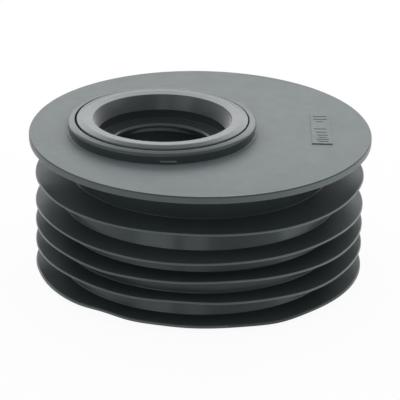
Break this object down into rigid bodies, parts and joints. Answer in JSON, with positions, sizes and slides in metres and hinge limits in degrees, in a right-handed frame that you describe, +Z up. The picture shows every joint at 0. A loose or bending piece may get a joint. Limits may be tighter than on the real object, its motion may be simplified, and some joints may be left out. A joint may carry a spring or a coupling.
{
  "type": "offset drain reducer",
  "caption": "Push-in offset reducer: a flanged hollow rubber skirt with soft sealing fins for a drain, and an off-centre socket with a lip seal for a smaller waste pipe.",
  "frame": {"origin": "centre of the skirt's open lower rim, on the drain's axis", "axes": "+Z up along the drain's axis, out of the flange; the waste socket lies off-centre towards -X"},
  "size_m": [0.1142, 0.1142, 0.0539],
  "materials": {
    "body_rubber": "black moulded rubber, finely sparked flange top, satin fins and walls",
    "seal_rubber": "black smooth satin seal rubber"
  },
  "bodies": {
    "root": {"reducer_body": "body_rubber", "socket_seal": "seal_rubber"}
  },
  "joints": []
}
